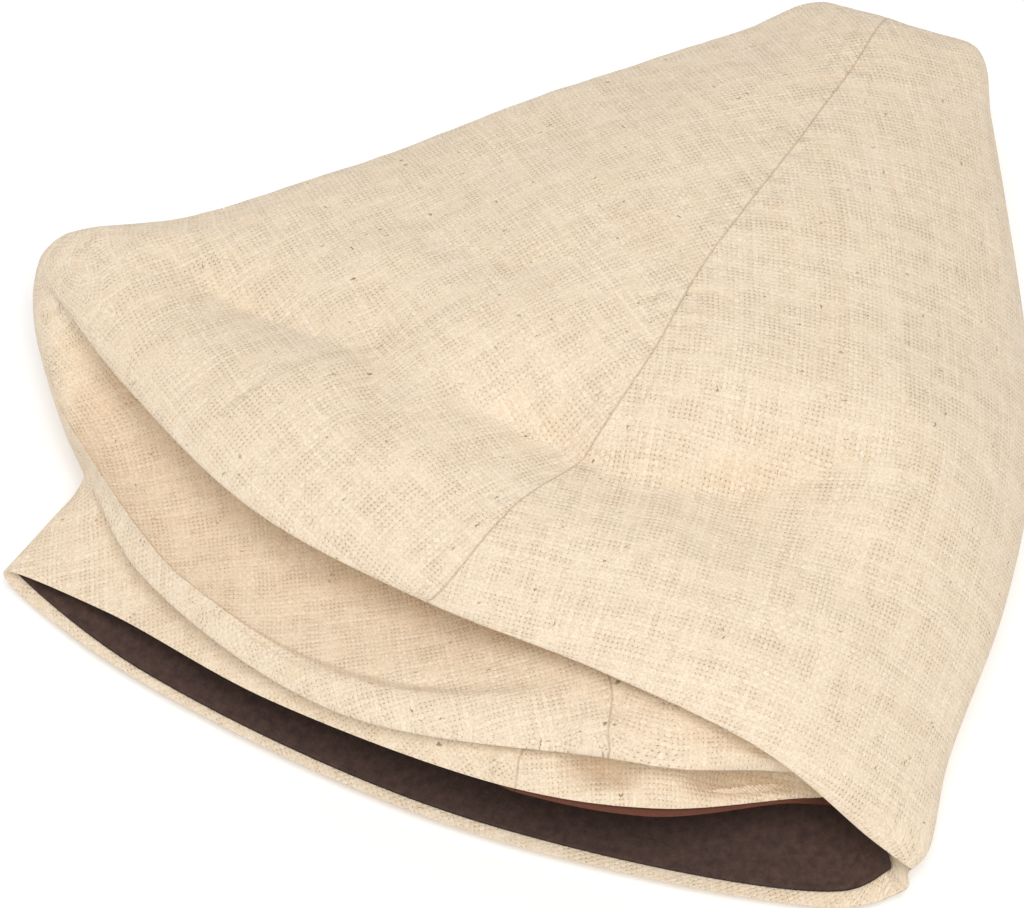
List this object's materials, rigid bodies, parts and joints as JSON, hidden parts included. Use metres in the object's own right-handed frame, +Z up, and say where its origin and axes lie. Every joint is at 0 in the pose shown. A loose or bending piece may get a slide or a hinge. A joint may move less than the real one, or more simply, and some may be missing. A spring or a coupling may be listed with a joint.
{
  "type": "soft linen flat cap",
  "caption": "Soft two-half linen flat cap with a centre seam, lying collapsed with its back folded over the open mouth and a brown sweatband inside.",
  "frame": {"origin": "on the surface that the cap lies on, under the middle of its box", "axes": "+Z up, the open mouth towards -Y, the narrow far end of the crown towards +Y"},
  "size_m": [0.2813, 0.2773, 0.0808],
  "materials": {
    "linen": "matt plain weave with slubs",
    "band_cloth": "matt brown cloth"
  },
  "bodies": {
    "root": {"crown_left": "linen", "crown_right": "linen", "sweatband": "band_cloth", "peak": "linen"}
  },
  "joints": []
}
